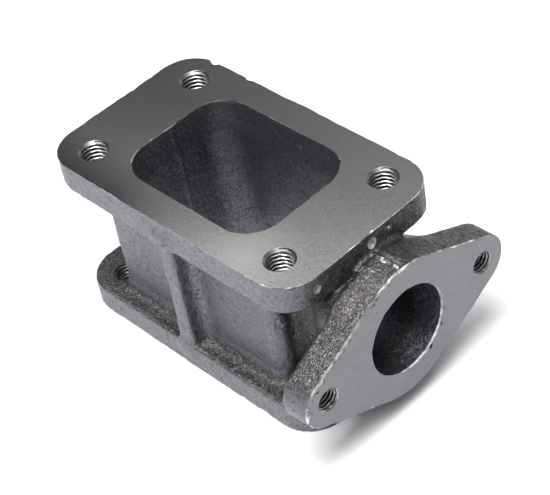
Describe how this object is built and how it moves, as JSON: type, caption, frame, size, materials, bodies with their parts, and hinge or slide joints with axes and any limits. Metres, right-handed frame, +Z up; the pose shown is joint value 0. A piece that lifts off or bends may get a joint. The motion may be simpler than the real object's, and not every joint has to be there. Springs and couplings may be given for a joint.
{
  "type": "turbo flange riser with wastegate branch",
  "caption": "Cast-iron riser that lifts a turbocharger off an exhaust manifold and feeds a side wastegate flange from its duct.",
  "frame": {"origin": "middle of the bounding box's footprint, on the manifold flange's lower face", "axes": "+X out along the wastegate bore, +Y across the flanges, +Z up the passage to the turbo flange"},
  "size_m": [0.1264, 0.0894, 0.064],
  "materials": {
    "machined_iron": "grey iron, face milled and ground, with fine straight tool marks",
    "rough_iron": "grey iron as cast in sand, shot blasted, gritty"
  },
  "bodies": {
    "root": {"turbo_flange": "machined_iron", "manifold_flange": "machined_iron", "duct_front_wall": "rough_iron", "duct_rear_wall": "rough_iron", "duct_closed_end_wall": "rough_iron", "duct_branch_end_wall": "rough_iron", "front_rib": "rough_iron", "rear_rib": "rough_iron", "wastegate_branch": "rough_iron", "wastegate_flange": "machined_iron", "flange_bridge": "rough_iron"}
  },
  "joints": []
}
